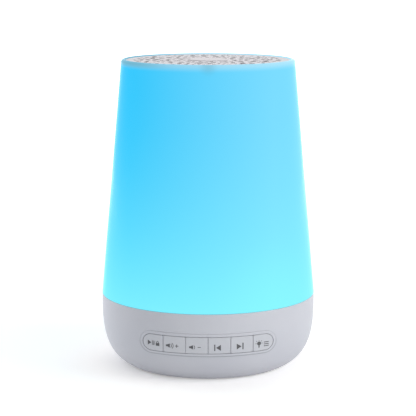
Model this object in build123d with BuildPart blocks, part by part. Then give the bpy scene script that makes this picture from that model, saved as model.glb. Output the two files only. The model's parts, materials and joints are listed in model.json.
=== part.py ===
from build123d import *
import os
from math import asin, cos, hypot, pi, radians, sin, sqrt, tan
from random import Random

# White noise sound machine with a night light, in millimetres.
# A rounded grey base carries six keys on its front and a charging socket at its back.
# On it stands a milky tapered shade, lit from below by a ring of lamps, and a perforated
# grille closes the shade's top over an upward-facing speaker. +Z is up, the keys face -Y,
# and the origin is on the floor, under the middle of the base.

os.makedirs("parts", exist_ok=True)

# --- Overall form -----------------------------------------------------------------
base_r = 52.5  # widest radius, at the seam between base and shade
total_h = 150.0  # floor to the shade's rim
seam_z = 34.9  # height of the seam
top_r = 42.2  # shade's outer radius at its rim
foot_proud = 0.8  # how far the rubber feet hold the base off the floor
sole_in = 12.2  # the flat underside's edge inside the widest radius
sole_r = base_r - sole_in
sole_slope = 24.0  # angle of the side over the floor there, in degrees
upper_handle = 12.5  # how far the side stays near upright below the seam
lower_handle = 14.0  # how far it stays near flat out from the underside
side_curve_r = 24.0  # mean radius of the rounded side, which eases its inner copies
seam_edge = 0.3  # rounding of the base's upper outer edge
fit = 0.15  # clearance round pieces that drop into one another
thread_fit = 0.05  # clearance between a screw and its pilot hole
screw_pass = 0.25  # clearance round a screw that passes through a piece
bend_share = 0.45  # most of a wire's straight run that one bend may use up

# --- Screws -----------------------------------------------------------------------
screw_r = 1.25  # self-tapping screws that hold the big pieces
screw_l = 7.5
screw_head_r = 2.7
screw_head_h = 1.6
small_screw_r = 1.0  # those that hold boards, strap and column
small_screw_l = 5.0
small_head_r = 1.9
small_head_h = 1.3
head_round = 0.45  # rounding of a screw's head, as a share of its height
tip_bevel = 0.4  # bevel of its tip, as a share of the shank's radius
cross_l = 1.1  # cross recess, as shares of the head's radius
cross_w = 0.24
cross_depth = 0.55  # its depth, as a share of the head's height
pilot_spare = 0.6  # pilot hole beyond a screw's tip
small_pilot_spare = 0.3

# --- Base shell and bottom plate --------------------------------------------------
shell_wall = 2.4
plate_in = 1.9  # the plate's edge inside the underside's
plate_r = sole_r - plate_in
plate_t = 2.6
plate_inset = 0.4  # plate's face above the shell's underside
plate_lip = 3.2  # width of the shell's flange over the plate's edge
flange_t = 2.0
plate_boss_r = 3.5
plate_boss_h = 8.7
plate_screw_angles = [45, 135, 225, 315]
plate_edge = 0.5  # chamfer round the plate's face
plate_land = 0.7  # plate left outside a screw's head
foot_r = 5.0
foot_sink = 1.0  # depth of a foot in its seat
foot_edge = 0.8  # plate left outside a foot
foot_round = 0.5
foot_angles = [0, 90, 180, 270]

# --- Keys -------------------------------------------------------------------------
key_names = ["play", "volume_up", "volume_down", "previous", "next", "lamp"]
key_row_share = 0.585  # width of the key row, as a share of the base's
key_row_w = 2 * base_r * key_row_share
key_end_short = 0.8  # how much shorter than the others the two end keys are
key_pitch = (key_row_w + 2 * key_end_short) / len(key_names)
key_h = 8.05
key_z = 20.0  # height of the key row's centre line
key_gap = 0.2  # round the keys
key_split = 0.15  # between two keys
key_proud = 0.4  # key faces in front of the shell's skin
key_edge = 0.35  # rounding of each key's front edge
key_corner = 0.6  # rounding of a key's corners, seen from the front
key_travel = 0.5
bezel_w = 1.4  # width of the low raised bead round the keys
bezel_h = 0.35
bezel_edge = 0.3
key_flange_w = 0.7  # flange that keeps a key behind the window
key_flange_t = 1.2
key_flange_gap = 0.3  # flange behind the shell's inner face
key_stem_r = 1.5
board_t = 1.6  # every circuit board
key_board_in = 20.5  # widest radius to the front face of the board behind the keys
key_board_y = key_board_in - base_r
key_board_room = 0.6  # from the key board's edges to what is round it
switch_w = 6.0
switch_h = 3.5
switch_stem_r = 1.4
switch_stem_h = 1.5  # how far a switch's plunger stands out of its body
switch_stem_in = 1.2  # how far it reaches into it
switch_spare = 0.3  # room under a pressed plunger
key_post_r = 2.0
key_post_x = 21.0
key_post_room = 0.3  # between a post and the keys' flanges

# --- Light deck -------------------------------------------------------------------
spigot_h = 3.5  # shade's spigot inside the base's rim
spigot_t = 1.7
seam_gap = 0.2
deck_t = 2.0
deck_ledge_w = 4.6
deck_ledge_t = 1.5
deck_boss_r = 3.2
deck_boss_h = 9.0
deck_screw_angles = [20, 160, 200, 340]
deck_head_room = 0.3  # between their heads and the shade's spigot
led_board_r = 31.0
led_board_bore = 13.0
led_post_r = 3.0
led_post_h = 2.0
led_post_ring = 27.5
led_post_angles = [20, 160, 270]
led_count = 12
led_ring = 21.5
led_w = 5.0
led_h = 1.6
led_bevel = 0.5
led_lens_r = 1.8
led_lens_h = 0.3
column_r = 8.0
column_bore = 6.2
column_flange_r = 12.4
column_flange_t = 4.0
column_screw_ring = 10.2
column_screws = 3
column_screw_turn = 90.0  # angle of the first
column_tail = 1.5  # tube below the deck
column_cap_t = 6.0  # solid top of the column
wire_hole_r = 3.0

# --- Shade and grille -------------------------------------------------------------
shade_wall = 2.4
rim_w = 1.85  # width of the rim round the grille
rim_round = 1.4
rim_inner_round = 0.3
rim_ledge_w = 2.3
rim_ledge_t = 1.6
foot_wall_h = 5.0  # height of the shade's thickened foot
grille_r = top_r - rim_w - fit
grille_t = 1.6
grille_sink = 0.5  # grille's face below the shade's rim
grille_edge = 0.3
skirt_h = 1.5
skirt_t = 1.1
hole_land = 3.7  # plain plastic between the perforations and the grille's edge
hole_zone_r = grille_r - hole_land
hole_sizes = [1.5, 0.95, 1.25, 0.7]  # radii of the holes, in turn
hole_web = 1.1  # least plastic between two holes
hole_tries = 4200
badge_r = 9.8  # plain raised disc at the grille's middle
badge_h = 0.3
badge_edge = 0.18
grille_boss_r = 2.6
cloth_t = 0.4
cloth_edge = 0.5  # cloth's edge inside the skirt

# --- Speaker ----------------------------------------------------------------------
speaker_r = 25.0
speaker_drop = 8.9  # grille's underside to the speaker's flange
rim_t = 1.0  # pressed steel flange
rim_w = 2.4
gasket_t = 0.6
roll_t = 0.4  # rubber surround
roll_r = 1.75
cone_t = 0.5
cone_r = 18.9
cone_lip = 1.2
cone_depth = 5.9
neck_r = 7.1  # inside of the voice coil's former
former_t = 0.25
winding_t = 0.55
winding_h = 5.5
dust_cap_r = 8.6
dust_cap_h = 2.4
dust_cap_t = 0.5
basket_t = 0.9
basket_depth = 12.9  # flange face to the basket's floor
basket_neck_r = 15.4
basket_hole_r = 8.8
basket_window = 40.0  # width of each window in the basket's side, in degrees
basket_windows = 4
window_over = 1.0  # basket left between a window and the spider's ledge
window_under = 1.2  # basket left between a window and the flange
spider_step = 2.2  # basket floor to the spider's ledge
spider_t = 0.4
spider_ledge_w = 1.7
spider_clear = 0.3
gap_clear = 0.3  # coil to the steel on its outside
pole_clear = 0.5  # coil to the pole inside it
pole_proud = 0.5
front_plate_r = 15.5
front_plate_t = 2.5
magnet_r = 18.0
magnet_bore = 10.5
magnet_t = 6.0
yoke_t = 2.5
yoke_r = 16.5
yoke_edge = 0.8
strip_w = 10.0  # terminal strip under the basket's ledge
strip_l = 6.0
strip_t = 1.0
tag_w = 2.0
tag_l = 4.5
tag_t = 0.4
tag_y = 2.6

# --- Speaker housing --------------------------------------------------------------
horn_t = 2.0
horn_ring_w = 8.0  # ring outside the speaker that takes its screws
horn_lap = 2.0  # ring over the speaker's flange
grille_screw_out = 5.2  # screw circle outside the speaker's edge
grille_screws = 4
cup_wall = 2.2
cup_seat_w = 2.0  # ledge that carries the speaker's flange
cup_room = 4.1  # magnet to the cup's floor
cup_taper = 3.0
socket_h = 7.0
socket_wall = 2.0
cup_screw_ring = 5.5
cup_screws = 3
cup_screw_turn = 60.0

# --- Boards, battery and leads ----------------------------------------------------
base_unit = base_r / 100  # the main board's parts are placed in hundredths of the base's radius
board_margin = 4.0  # side posts to the board's edge
side_post_x = 47.6 * base_unit
side_post_y = 30.5 * base_unit
rear_post_x = 22.9 * base_unit
rear_post_y = 52.4 * base_unit
rear_row_y = 74.3 * base_unit  # the row of parts near the board's back
main_board_w = 2 * (side_post_x + board_margin)
main_board_y = 23.8 * base_unit  # front edge
main_board_room = 1.2  # from its rounded back to the shell
main_post_h = 10.0
main_post_r = 2.5
main_post_spots = [
    (-side_post_x, side_post_y),
    (side_post_x, side_post_y),
    (-rear_post_x, rear_post_y),
    (rear_post_x, rear_post_y),
]
usb_w = 8.94
usb_h = 3.26
usb_l = 7.35
usb_skin = 0.35
usb_tongue_w = 6.7
usb_tongue_t = 0.7
usb_tongue_l = 5.2
usb_back = 1.6
usb_gap = 0.3  # socket's mouth behind the shell's inner face
port_room = 0.6  # hole in the shell round the socket
port_rim = 1.5  # wider recess round that hole
port_depth = 1.2
controller_spot = (-10.5 * base_unit, 43.8 * base_unit)
amplifier_spot = (29.5 * base_unit, rear_row_y)
controller_w = 7.0
amplifier_w = 5.0
chip_h = 1.0
capacitor_r = 3.2
capacitor_h = 7.0
capacitor_edge = 0.5
capacitor_x = 41.9 * base_unit
capacitor_y = 48.6 * base_unit
rear_capacitor_x = 19.0 * base_unit
capacitor_spots = [
    (-capacitor_x, capacitor_y),
    (capacitor_x, capacitor_y),
    (-rear_capacitor_x, rear_row_y),
]
coil_spot = (-37.1 * base_unit, 65.7 * base_unit)
coil_w = 6.0
coil_h = 3.0
cell_r = 9.3
cell_l = 65.0
cell_y = -6.0
cell_lift = 0.5
cell_edge = 0.8
cradle_x = 18.0
cradle_t = 3.0
cradle_h = 6.0
cradle_w = 16.0
strap_w = 10.0
strap_t = 1.4
strap_foot = 6.0
strap_post_r = 2.8
lead_r = 0.7
lead_pitch = 1.8
lead_straight = 4.0  # straight run of a lead into its connector
lead_out = 4.5  # how far the battery's leads stand off its end
lead_end_pitch = 2.0  # how many times wider apart a pair's other ends are
speaker_lead_bend = 5.0  # largest bend of the leads where they enter the column
ribbon_w = 5.0
ribbon_t = 0.8
ribbon_bend = 3.0
connector_w = 6.0
connector_d = 4.5
connector_h = 5.0
connector_back = 0.8  # connectors behind the main board's front edge
connector_line = 2.5  # leads above the board, where they meet a connector
battery_x = -16.0
speaker_x = -5.5
light_spot = (5.5, 22.0)
key_lead_x = 16.0

# --- Places worked out from those sizes -------------------------------------------
sole_z = foot_proud
plate_z = sole_z + plate_inset
plate_top = plate_z + plate_t
plate_opening_r = plate_r + fit - plate_lip
plate_boss_ring = plate_r - screw_head_r - plate_land
foot_ring = plate_r - foot_edge - foot_r
deck_top = seam_z - spigot_h
deck_z = deck_top - deck_t
deck_ledge_z = deck_z - deck_ledge_t
led_board_z = deck_top + led_post_h
led_z = led_board_z + board_t
key_back = shell_wall + key_flange_gap + key_flange_t
key_post_dz = key_h / 2 + key_gap + key_flange_w + key_post_room + key_post_r
switch_face_y = key_board_y - switch_h
stem_y = switch_face_y - switch_stem_h
grille_top = total_h - grille_sink
grille_z = grille_top - grille_t
ledge_top = grille_z - skirt_h - horn_t
rim_bore = grille_r + fit
shade_slope = (base_r - top_r) / (total_h - seam_z)
shade_low = seam_z + seam_gap
speaker_z = grille_z - speaker_drop  # the speaker flange's upper face
horn_ring_z = speaker_z + roll_t + gasket_t
horn_ring_r = speaker_r + horn_ring_w
horn_bore = speaker_r - horn_lap
grille_screw_ring = speaker_r + grille_screw_out
roll_ring = cone_r + roll_r
former_r = neck_r + former_t
coil_r = former_r + winding_t
neck_z = speaker_z - cone_depth
basket_floor = speaker_z - basket_depth
spider_z = basket_floor + spider_step
front_plate_z = basket_floor - front_plate_t
magnet_z = front_plate_z - magnet_t
yoke_z = magnet_z - yoke_t
coil_z = front_plate_z + front_plate_t / 2
cup_floor = yoke_z - cup_room
cup_bottom = cup_floor - cup_wall
cup_r = speaker_r + fit + cup_wall
socket_z = cup_bottom - socket_h
main_board_z = plate_top + main_post_h
board_face = main_board_z + board_t
usb_z = board_face + usb_h / 2
connector_y = main_board_y + connector_back
lead_z = board_face + connector_line
cell_z = plate_top + cell_lift + cell_r
strap_r = cell_r + fit
strap_reach = strap_r + strap_t + strap_foot / 2


# --- Shared shapes ----------------------------------------------------------------
def skin_points(inset):
    """Four control points of the base's rounded side, moved inwards by inset."""
    ease = 1 - inset / side_curve_r
    slope = radians(sole_slope)
    top = (base_r - inset, seam_z)
    low = (sole_r - inset * sin(slope), sole_z + inset * cos(slope))
    upper = (top[0], top[1] - upper_handle * ease)
    reach = lower_handle * ease
    lower = (low[0] + reach * cos(slope), low[1] + reach * sin(slope))
    return [top, upper, lower, low]


def skin_radius(z, inset=0.0):
    """Radius of the base's side, moved inwards by inset, at height z."""
    points = skin_points(inset)
    start, end = 0.0, 1.0
    for _ in range(40):
        t = (start + end) / 2
        s = 1 - t
        weights = (s**3, 3 * s * s * t, 3 * s * t * t, t**3)
        r, height = (sum(w * p[i] for w, p in zip(weights, points)) for i in (0, 1))
        if height > z:
            start = t
        else:
            end = t
    return r


def base_core(inset):
    """The solid inside the base's rounded side, moved inwards by inset."""
    points = skin_points(inset)
    with BuildPart() as core:
        with BuildSketch(Plane.XZ):
            with BuildLine():
                Bezier(*points)
                Polyline(points[3], (0, points[3][1]), (0, seam_z), points[0])
            make_face()
        revolve(axis=Axis.Z)
    return core.part


def shade_radius(z):
    """Outer radius of the shade's straight side at height z."""
    return top_r + (total_h - z) * shade_slope


def ring(inner, outer, low, high):
    """A flat ring, or a disc where inner is 0, from height low to height high."""
    with BuildPart() as piece:
        with BuildSketch(Plane.XY.offset(low)):
            Circle(outer)
            if inner > 0:
                Circle(inner, mode=Mode.SUBTRACT)
        extrude(amount=high - low)
    return piece.part


def turned(*points):
    """The solid that a closed outline of radius and height sweeps round the Z axis."""
    with BuildPart() as piece:
        with BuildSketch(Plane.XZ):
            with BuildLine():
                Polyline(*points, close=True)
            make_face()
        revolve(axis=Axis.Z)
    return piece.part


def around(piece, angles):
    """Copies of a piece, turned round the Z axis to each angle."""
    return [piece.rotate(Axis.Z, angle) for angle in angles]


def even_angles(count, first=0.0):
    """Angles that share a circle evenly."""
    return [first + 360 * i / count for i in range(count)]


def in_base(piece):
    """Trims a piece at the middle of the base's wall, so that it grows out of the wall."""
    with BuildPart() as trimmed:
        add(piece)
        add(wall_middle, mode=Mode.INTERSECT)
    return trimmed.part


def front_bar(width, height, left=None, right=None):
    """A round-ended bar along Y, through the front of the base, cut to a range of X."""
    with BuildPart() as bar:
        with BuildSketch(Plane.XZ) as outline:
            with Locations((0, key_z)):
                SlotOverall(width, height)
            if left is not None:
                with Locations(((left + right) / 2, key_z)):
                    Rectangle(right - left, height + 1, mode=Mode.INTERSECT)
                straight = (width - height) / 2 - key_corner
                fillet(outline.vertices().filter_by(lambda v: abs(v.X) < straight), key_corner)
        extrude(amount=base_r + 1)
    return bar.part


def curved_front(bar):
    """The face of a bar's front that follows the base's skin."""
    return bar.faces().filter_by(lambda f: f.geom_type not in (GeomType.PLANE, GeomType.CYLINDER))


def upright(x, y, low, high, radius):
    """A round post or hole from height low to height high."""
    with BuildPart() as post:
        with BuildSketch(Plane.XY.offset(low)):
            with Locations((x, y)):
                Circle(radius)
        extrude(amount=high - low)
    return post.part


def block(x, y, low, width, depth, height):
    """An upright box, centred on x and y, standing on height low."""
    with BuildPart() as box:
        with BuildSketch(Plane.XY.offset(low)):
            with Locations((x, y)):
                Rectangle(width, depth)
        extrude(amount=height)
    return box.part


def pan_screw(shank_r, head_r, head_h, length):
    """A cross-head screw: its shank runs down from the origin and its head stands above."""
    with BuildPart() as screw:
        Cylinder(shank_r, length, align=(Align.CENTER, Align.CENTER, Align.MAX))
        Cylinder(head_r, head_h, align=(Align.CENTER, Align.CENTER, Align.MIN))
        fillet(screw.edges().group_by(Axis.Z)[-1], head_h * head_round)
        chamfer(screw.edges().group_by(Axis.Z)[0], shank_r * tip_bevel)
        cross = (head_r * cross_l, head_r * cross_w, 2 * head_h * cross_depth)
        with Locations((0, 0, head_h)):
            for turn in (0, 90):
                Box(*cross, rotation=(0, 0, turn), mode=Mode.SUBTRACT)
    return screw.part


def lead(points, widest=8.0):
    """A wire along straight runs, joined by arcs as large as each corner allows."""
    vectors = [Vector(*p) for p in points]
    radii = []
    for before, corner, after in zip(vectors, vectors[1:], vectors[2:]):
        turn = radians((corner - before).get_angle(after - corner))
        shorter = min((corner - before).length, (after - corner).length)
        radii.append(min(widest, bend_share * shorter / tan(turn / 2)))
    with BuildPart() as wire:
        with BuildLine() as route:
            if radii:
                FilletPolyline(*points, radius=radii)
            else:
                Line(*points)
        with BuildSketch(Plane(route.line @ 0, z_dir=route.line % 0)):
            Circle(lead_r)
        sweep()
    return wire.part


def save(piece, name):
    """Labels a finished piece and writes its file."""
    piece.label = name
    export_step(piece, f"parts/{name}.step")


def save_group(pieces, name):
    """Writes several separate solids as one file."""
    save(Compound(children=list(pieces)), name)


base_skin = base_core(0)
wall_middle = base_core(shell_wall / 2)
base_hollow = base_core(shell_wall)
big_screw = pan_screw(screw_r - thread_fit, screw_head_r, screw_head_h, screw_l)
small_screw = pan_screw(small_screw_r - thread_fit, small_head_r, small_head_h, small_screw_l)
big_screw_up = big_screw.rotate(Axis.X, 180)
small_screw_up = small_screw.rotate(Axis.X, 180)

# --- Base shell -------------------------------------------------------------------
deck_r = skin_radius(deck_z, shell_wall) - fit
spigot_r = deck_r
deck_screw_ring = spigot_r - spigot_t - screw_head_r - deck_head_room
deck_ledge_r = deck_r + fit - deck_ledge_w
usb_reach = skin_radius(usb_z - usb_h / 2, shell_wall)
usb_y = sqrt(usb_reach**2 - (usb_w / 2) ** 2) - usb_gap  # the socket's mouth
port_w = usb_w + 2 * port_room
port_h = usb_h + 2 * port_room

with BuildPart() as deck_boss:
    with BuildSketch(Plane.XY.offset(deck_z - deck_boss_h)):
        with Locations((deck_screw_ring, 0)):
            Circle(deck_boss_r)
        with Locations((deck_screw_ring + deck_ledge_w, 0)):
            Rectangle(2 * deck_ledge_w, 2 * deck_boss_r)
    extrude(amount=deck_boss_h)

with BuildPart() as key_post:
    with BuildSketch(Plane.XZ.offset(-key_board_y)):
        with GridLocations(2 * key_post_x, 2 * key_post_dz, 2, 2):
            with Locations((0, key_z)):
                Circle(key_post_r)
    extrude(amount=base_r)

with BuildPart() as key_post_holes:
    with BuildSketch(Plane.XZ.offset(-key_board_y)):
        with GridLocations(2 * key_post_x, 2 * key_post_dz, 2, 2):
            with Locations((0, key_z)):
                Circle(small_screw_r)
    extrude(amount=small_screw_l - board_t + small_pilot_spare)

with BuildPart() as bezel:
    widen = 2 * (key_gap + bezel_w)
    add(front_bar(key_row_w + widen, key_h + widen))
    add(base_core(-bezel_h), mode=Mode.INTERSECT)
    fillet(curved_front(bezel).edges(), bezel_edge)

with BuildPart() as port_cut:
    with BuildSketch(Plane.XZ):
        with Locations((0, usb_z)):
            RectangleRounded(port_w + 2 * port_rim, port_h + 2 * port_rim, port_h / 2)
    extrude(amount=-base_r)
    add(base_core(port_depth), mode=Mode.SUBTRACT)
    with BuildSketch(Plane.XZ.offset(-usb_y)):
        with Locations((0, usb_z)):
            SlotOverall(port_w, port_h)
    extrude(amount=-shell_wall * 2)

with BuildPart() as base_shell:
    add(base_skin)
    top_edge = base_shell.edges().group_by(Axis.Z)[-1]
    fillet(top_edge, seam_edge)
    add(bezel.part)
    add(base_hollow, mode=Mode.SUBTRACT)
    add(in_base(ring(plate_opening_r, base_r, sole_z, plate_top + flange_t)))
    add(ring(0, plate_r + fit, 0, plate_top), mode=Mode.SUBTRACT)
    add(ring(0, plate_opening_r, 0, plate_top + flange_t), mode=Mode.SUBTRACT)
    add(in_base(ring(deck_ledge_r, base_r, deck_ledge_z, deck_z)))
    for boss in around(in_base(deck_boss.part), deck_screw_angles):
        add(boss)
    plate_boss = upright(plate_boss_ring, 0, plate_top, plate_top + plate_boss_h, plate_boss_r)
    for boss in around(plate_boss, plate_screw_angles):
        add(boss)
    add(in_base(key_post.part))
    deck_pilot = screw_l - deck_t + pilot_spare
    hole = upright(deck_screw_ring, 0, deck_z - deck_pilot, deck_z, screw_r)
    for cut in around(hole, deck_screw_angles):
        add(cut, mode=Mode.SUBTRACT)
    plate_pilot = screw_l - (plate_t - screw_head_h) + pilot_spare
    hole = upright(plate_boss_ring, 0, plate_top, plate_top + plate_pilot, screw_r)
    for cut in around(hole, plate_screw_angles):
        add(cut, mode=Mode.SUBTRACT)
    add(key_post_holes.part, mode=Mode.SUBTRACT)
    add(front_bar(key_row_w + 2 * key_gap, key_h + 2 * key_gap), mode=Mode.SUBTRACT)
    add(port_cut.part, mode=Mode.SUBTRACT)
save(base_shell.part, "base_shell")

# --- Bottom plate, its screws and feet --------------------------------------------
with BuildPart() as strap_posts:
    with BuildSketch(Plane.XY.offset(plate_top)):
        with Locations((0, cell_y)):
            with GridLocations(0, 2 * strap_reach, 1, 2):
                Circle(strap_post_r)
    extrude(amount=cell_z - plate_top)

with BuildPart() as cradles:
    with BuildSketch(Plane.XY.offset(plate_top)):
        with Locations((0, cell_y)):
            with GridLocations(2 * cradle_x, 0, 2, 1):
                Rectangle(cradle_t, cradle_w)
    extrude(amount=cradle_h)
    with BuildSketch(Plane.YZ.offset(-cell_l / 2)):
        with Locations((cell_y, cell_z)):
            Circle(strap_r)
    extrude(amount=cell_l, mode=Mode.SUBTRACT)

with BuildPart() as bottom_plate:
    add(ring(0, plate_r, plate_z, plate_top))
    chamfer(bottom_plate.edges().group_by(Axis.Z)[0], plate_edge)
    add(strap_posts.part)
    add(cradles.part)
    for x, y in main_post_spots:
        add(upright(x, y, plate_top, main_board_z, main_post_r))
    for x, y in main_post_spots:
        pilot = small_screw_l - board_t + small_pilot_spare
        add(upright(x, y, main_board_z - pilot, main_board_z, small_screw_r), mode=Mode.SUBTRACT)
    for side in (-1, 1):
        pilot = small_screw_l - strap_t + small_pilot_spare
        post_y = cell_y + side * strap_reach
        add(upright(0, post_y, cell_z - pilot, cell_z, small_screw_r), mode=Mode.SUBTRACT)
    seat = upright(foot_ring, 0, plate_z, plate_z + foot_sink, foot_r + fit)
    for cut in around(seat, foot_angles):
        add(cut, mode=Mode.SUBTRACT)
    sink = upright(plate_boss_ring, 0, plate_z, plate_z + screw_head_h, screw_head_r + fit)
    hole = upright(plate_boss_ring, 0, plate_z, plate_top, screw_r + screw_pass)
    for cut in around(sink, plate_screw_angles) + around(hole, plate_screw_angles):
        add(cut, mode=Mode.SUBTRACT)
save(bottom_plate.part, "bottom_plate")

plate_screw = Pos(plate_boss_ring, 0, plate_z + screw_head_h) * big_screw_up
save_group(around(plate_screw, plate_screw_angles), "bottom_screws")

with BuildPart() as foot:
    add(upright(foot_ring, 0, 0, plate_z + foot_sink, foot_r))
    fillet(foot.edges().group_by(Axis.Z)[0], foot_round)
save_group(around(foot.part, foot_angles), "feet")

# --- Keys, their switches and board -----------------------------------------------
key_edges = [key_pitch * (i - len(key_names) / 2) for i in range(len(key_names) + 1)]
key_edges[0] = -key_row_w / 2
key_edges[-1] = key_row_w / 2
key_face = base_core(-key_proud)
key_rear = base_core(key_back)
flange_face = base_core(shell_wall + key_flange_gap)
switches = []
for index, name in enumerate(key_names):
    left, right = key_edges[index], key_edges[index + 1]
    middle = (left + right) / 2
    at_left, at_right = index == 0, index == len(key_names) - 1
    cap_left = left if at_left else left + key_split / 2
    cap_right = right if at_right else right - key_split / 2
    lip = key_gap + key_flange_w
    with BuildPart() as flange:
        flange_left = cap_left - lip * at_left
        flange_right = cap_right + lip * at_right
        add(front_bar(key_row_w + 2 * lip, key_h + 2 * lip, flange_left, flange_right))
        add(flange_face, mode=Mode.INTERSECT)
    with BuildPart() as key:
        add(front_bar(key_row_w, key_h, cap_left, cap_right))
        add(key_face, mode=Mode.INTERSECT)
        fillet(curved_front(key).edges(), key_edge)
        add(flange.part)
        add(key_rear, mode=Mode.SUBTRACT)
        stem_middle = max(-key_row_w / 2 + key_pitch / 2, min(middle, key_row_w / 2 - key_pitch / 2))
        with BuildSketch(Plane.XZ.offset(-stem_y)):
            with Locations((stem_middle, key_z)):
                Circle(key_stem_r)
        depth_here = sqrt(skin_radius(key_z, key_back) ** 2 - stem_middle**2)
        extrude(amount=depth_here + stem_y + key_flange_t)
    save(key.part, f"key_{name}")
    with BuildPart() as plunger:
        with BuildSketch(Plane.XZ.offset(-stem_y)):
            with Locations((stem_middle, key_z)):
                Circle(switch_stem_r)
        extrude(amount=-switch_stem_h - switch_stem_in)
    save(plunger.part, f"switch_plunger_{name}")
    with BuildPart() as switch:
        with BuildSketch(Plane.XZ.offset(-key_board_y)):
            with Locations((stem_middle, key_z)):
                Rectangle(switch_w, switch_w)
        extrude(amount=switch_h)
        with BuildSketch(Plane.XZ.offset(-switch_face_y)):
            with Locations((stem_middle, key_z)):
                Circle(switch_stem_r + fit)
        extrude(amount=-switch_stem_in - key_travel - switch_spare, mode=Mode.SUBTRACT)
    switches.append(switch.part)
save_group(switches, "switch_housings")

key_board_h = 2 * (key_post_dz + key_post_r - key_board_room / 2)
key_board_w = 2 * (sqrt(deck_ledge_r**2 - key_board_y**2) - key_board_room)
with BuildPart() as key_board:
    with BuildSketch(Plane.XZ.offset(-key_board_y)):
        with Locations((0, key_z)):
            Rectangle(key_board_w, key_board_h)
            with GridLocations(2 * key_post_x, 2 * key_post_dz, 2, 2):
                Circle(small_screw_r + fit, mode=Mode.SUBTRACT)
    extrude(amount=-board_t)
save(key_board.part, "key_board")

key_board_back = key_board_y + board_t
key_screw = small_screw.rotate(Axis.X, -90)
key_board_screws = []
for x in (-key_post_x, key_post_x):
    for z in (key_z - key_post_dz, key_z + key_post_dz):
        key_board_screws.append(Pos(x, key_board_back, z) * key_screw)
save_group(key_board_screws, "key_board_screws")

# --- Light deck, lamps and column -------------------------------------------------
with BuildPart() as light_deck:
    add(ring(column_r + fit, deck_r, deck_z, deck_top))
    post = upright(led_post_ring, 0, deck_top, led_board_z, led_post_r)
    for boss in around(post, led_post_angles):
        add(boss)
    pilot = small_screw_l - board_t + small_pilot_spare
    hole = upright(led_post_ring, 0, led_board_z - pilot, led_board_z, small_screw_r)
    for cut in around(hole, led_post_angles):
        add(cut, mode=Mode.SUBTRACT)
    hole = upright(deck_screw_ring, 0, deck_z, deck_top, screw_r + screw_pass)
    for cut in around(hole, deck_screw_angles):
        add(cut, mode=Mode.SUBTRACT)
    hole = upright(column_screw_ring, 0, deck_z, deck_top, small_screw_r + screw_pass)
    for cut in around(hole, even_angles(column_screws, column_screw_turn)):
        add(cut, mode=Mode.SUBTRACT)
    slot_w, slot_d = connector_w + 4 * fit, connector_d + 4 * fit
    add(block(*light_spot, deck_z, slot_w, slot_d, deck_t), mode=Mode.SUBTRACT)
save(light_deck.part, "light_deck")

deck_screw = Pos(deck_screw_ring, 0, deck_top) * big_screw
save_group(around(deck_screw, deck_screw_angles), "deck_screws")

with BuildPart() as led_board:
    add(ring(led_board_bore, led_board_r, led_board_z, led_z))
    hole = upright(led_post_ring, 0, led_board_z, led_z, small_screw_r + fit)
    for cut in around(hole, led_post_angles):
        add(cut, mode=Mode.SUBTRACT)
save(led_board.part, "led_board")

led_screw = Pos(led_post_ring, 0, led_z) * small_screw
save_group(around(led_screw, led_post_angles), "led_board_screws")

with BuildPart() as led:
    add(block(led_ring, 0, led_z, led_w, led_w, led_h))
    chamfer(led.edges().group_by(Axis.Z)[-1], led_bevel)
    add(upright(led_ring, 0, led_z + led_h, led_z + led_h + led_lens_h, led_lens_r))
save_group(around(led.part, even_angles(led_count, 180 / led_count)), "leds")

column_z = cup_bottom  # the column's top
with BuildPart() as column:
    add(ring(0, column_r, deck_z - column_tail, column_z))
    add(ring(0, column_flange_r, deck_top, deck_top + column_flange_t))
    bore_top = column_z - column_cap_t
    add(ring(0, column_bore, deck_z - column_tail, bore_top), mode=Mode.SUBTRACT)
    add(ring(0, wire_hole_r, bore_top, column_z), mode=Mode.SUBTRACT)
    pilot = small_screw_l - deck_t + small_pilot_spare
    hole = upright(column_screw_ring, 0, deck_top, deck_top + pilot, small_screw_r)
    for cut in around(hole, even_angles(column_screws, column_screw_turn)):
        add(cut, mode=Mode.SUBTRACT)
    pilot = small_screw_l - cup_wall + small_pilot_spare
    hole = upright(cup_screw_ring, 0, column_z - pilot, column_z, small_screw_r)
    for cut in around(hole, even_angles(cup_screws, cup_screw_turn)):
        add(cut, mode=Mode.SUBTRACT)
save(column.part, "column")

foot_screw = Pos(column_screw_ring, 0, deck_z) * small_screw_up
head_screw = Pos(cup_screw_ring, 0, cup_floor) * small_screw
foot_screws = around(foot_screw, even_angles(column_screws, column_screw_turn))
head_screws = around(head_screw, even_angles(cup_screws, cup_screw_turn))
save_group(foot_screws + head_screws, "column_screws")

# --- Shade ------------------------------------------------------------------------
ledge_low = ledge_top - rim_ledge_t
ledge_r = rim_bore - rim_ledge_w
brace_z = ledge_low - rim_ledge_w
foot_top = shade_low + foot_wall_h
spigot_bore = spigot_r - spigot_t
with BuildPart() as lamp_shade:
    with BuildSketch(Plane.XZ) as shade_outline:
        with BuildLine():
            Polyline(
                (spigot_r, deck_top),
                (spigot_r, shade_low),
                (shade_radius(shade_low), shade_low),
                (top_r, total_h),
                (rim_bore, total_h),
                (rim_bore, ledge_top),
                (ledge_r, ledge_top),
                (ledge_r, ledge_low),
                (shade_radius(brace_z) - shade_wall, brace_z),
                (shade_radius(foot_top) - shade_wall, foot_top),
                (spigot_bore, shade_low + foot_wall_h / 2),
                (spigot_bore, deck_top),
                close=True,
            )
        make_face()
        rim_corners = shade_outline.vertices().group_by(Axis.Y)[-1].sort_by(Axis.X)
        fillet(rim_corners[-1], rim_round)
        rim_corners = shade_outline.vertices().group_by(Axis.Y)[-1].sort_by(Axis.X)
        fillet(rim_corners[0], rim_inner_round)
    revolve(axis=Axis.Z)
save(lamp_shade.part, "lamp_shade")

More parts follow.
